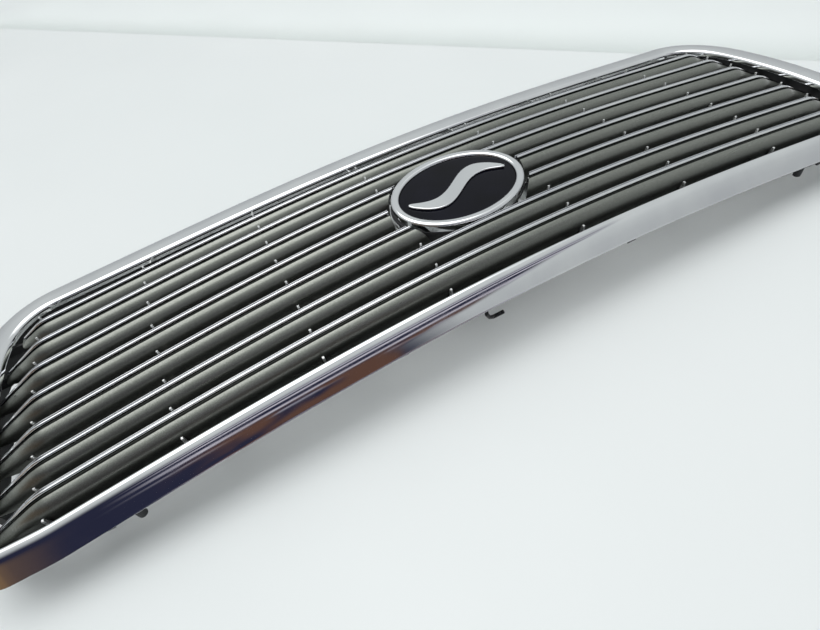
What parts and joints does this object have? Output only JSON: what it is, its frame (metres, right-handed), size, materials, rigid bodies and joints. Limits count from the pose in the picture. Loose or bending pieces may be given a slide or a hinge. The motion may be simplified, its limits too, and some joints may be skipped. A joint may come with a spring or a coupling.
{
  "type": "front grille",
  "caption": "Wide bowed car front grille with curved louvres, thin bright strips, a bright surround and an oval badge carrier, on a rear frame with clips and pins.",
  "frame": {"origin": "centre of the footprint, on the plane that the grille rests on when it lies on its back", "axes": "+X across the car, +Z out of the front of the grille, -Y towards the top of the car and +Y towards its bottom"},
  "size_m": [0.8358, 0.2508, 0.0826],
  "materials": {
    "chrome": "bright chrome plate on plastic",
    "satin_gunmetal": "satin dark metallic paint",
    "gloss_black": "deep gloss black",
    "black_plastic": "fine-grained black moulding",
    "black_steel": "black coated steel"
  },
  "bodies": {
    "root": {"badge_base": "black_plastic", "badge_field": "gloss_black", "badge_motif": "chrome", "badge_nut_left": "black_steel", "badge_nut_right": "black_steel", "badge_ring": "chrome", "carrier_frame": "black_plastic", "centre_hook": "black_steel", "chrome_strip_1": "chrome", "chrome_strip_2": "chrome", "chrome_strip_3_left": "chrome", "chrome_strip_3_right": "chrome", "chrome_strip_4_left": "chrome", "chrome_strip_4_right": "chrome", "chrome_strip_5_left": "chrome", "chrome_strip_5_right": "chrome", "chrome_strip_6": "chrome", "chrome_strip_7": "chrome", "end_comb_left": "black_plastic", "end_comb_right": "black_plastic", "locating_pin_left": "black_plastic", "locating_pin_right": "black_plastic", "louvre_1": "satin_gunmetal", "louvre_2": "satin_gunmetal", "louvre_3_left": "satin_gunmetal", "louvre_3_right": "satin_gunmetal", "louvre_4_left": "satin_gunmetal", "louvre_4_right": "satin_gunmetal", "louvre_5_left": "satin_gunmetal", "louvre_5_right": "satin_gunmetal", "louvre_6": "satin_gunmetal", "louvre_7": "satin_gunmetal", "lower_clip_1": "black_plastic", "lower_clip_2": "black_plastic", "lower_clip_3": "black_plastic", "lower_clip_4": "black_plastic", "rib_1": "satin_gunmetal", "rib_2": "satin_gunmetal", "rib_3": "satin_gunmetal", "rib_4": "satin_gunmetal", "rib_5": "satin_gunmetal", "rib_6": "satin_gunmetal", "rib_7": "satin_gunmetal", "rib_8": "satin_gunmetal", "side_bracket_left": "black_plastic", "side_bracket_right": "black_plastic", "surround": "chrome", "upper_clip_1": "black_plastic", "upper_clip_2": "black_plastic", "upper_clip_3": "black_plastic", "upper_clip_4": "black_plastic"}
  },
  "joints": []
}
